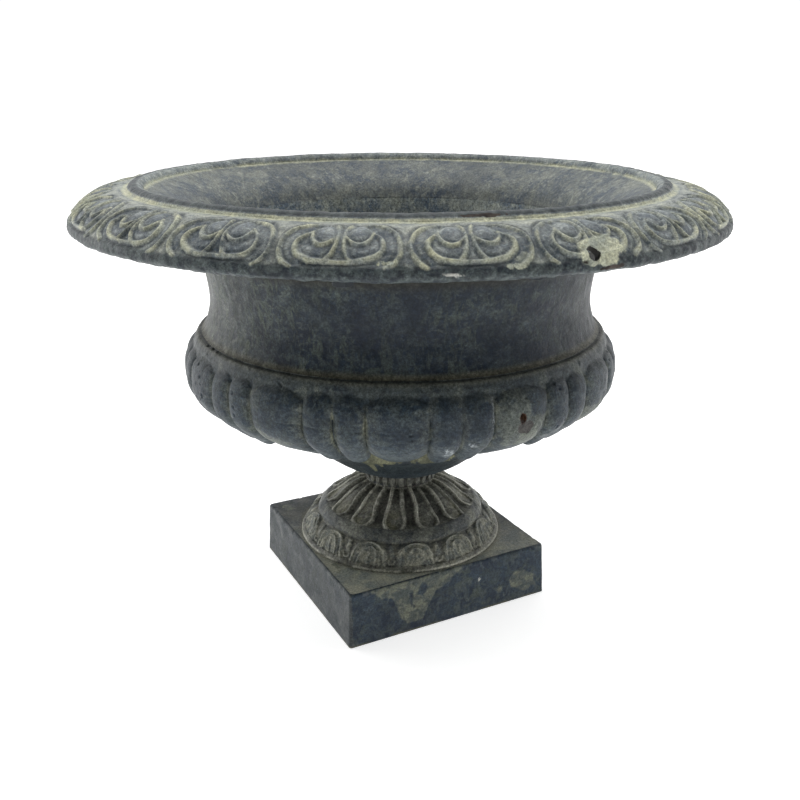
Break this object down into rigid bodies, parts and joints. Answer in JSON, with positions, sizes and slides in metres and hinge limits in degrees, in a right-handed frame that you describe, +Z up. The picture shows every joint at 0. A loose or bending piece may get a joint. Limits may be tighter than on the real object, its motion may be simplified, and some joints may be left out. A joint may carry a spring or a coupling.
{
  "type": "cast iron urn planter",
  "caption": "Low cast iron garden urn planter with a wide scroll-ornamented rim, plain neck, lobed bowl, fluted socle and square plinth; holds soil or a plant pot.",
  "frame": {"origin": "on the floor, at the urn's axis, in the plane the plinth stands on", "axes": "+Z up along the urn's axis; X and Y along the sides of the square plinth"},
  "size_m": [0.5, 0.5, 0.3502],
  "materials": {
    "rim_iron": "old blue-grey paint, rubbed pale on the ridges",
    "neck_iron": "old dark paint with olive brush marks",
    "bowl_iron": "old blue-grey paint, olive in the valleys",
    "socle_iron": "old dark paint, rubbed on the ridges",
    "plinth_iron": "old dark paint with olive patches",
    "fastener_steel": "dull rusted steel"
  },
  "bodies": {
    "root": {"plinth": "plinth_iron", "socle": "socle_iron", "gadrooned_bowl": "bowl_iron", "neck_drum": "neck_iron", "rim": "rim_iron", "tie_rod": "fastener_steel", "clamp_plate": "fastener_steel", "rod_washer_upper": "fastener_steel", "rod_nut_upper": "fastener_steel", "rod_washer_lower": "fastener_steel", "rod_nut_lower": "fastener_steel", "neck_bolts": "fastener_steel", "neck_bolt_washers": "fastener_steel", "neck_nut_washers": "fastener_steel", "neck_nuts": "fastener_steel", "rim_bolts": "fastener_steel", "rim_bolt_washers": "fastener_steel"}
  },
  "joints": []
}
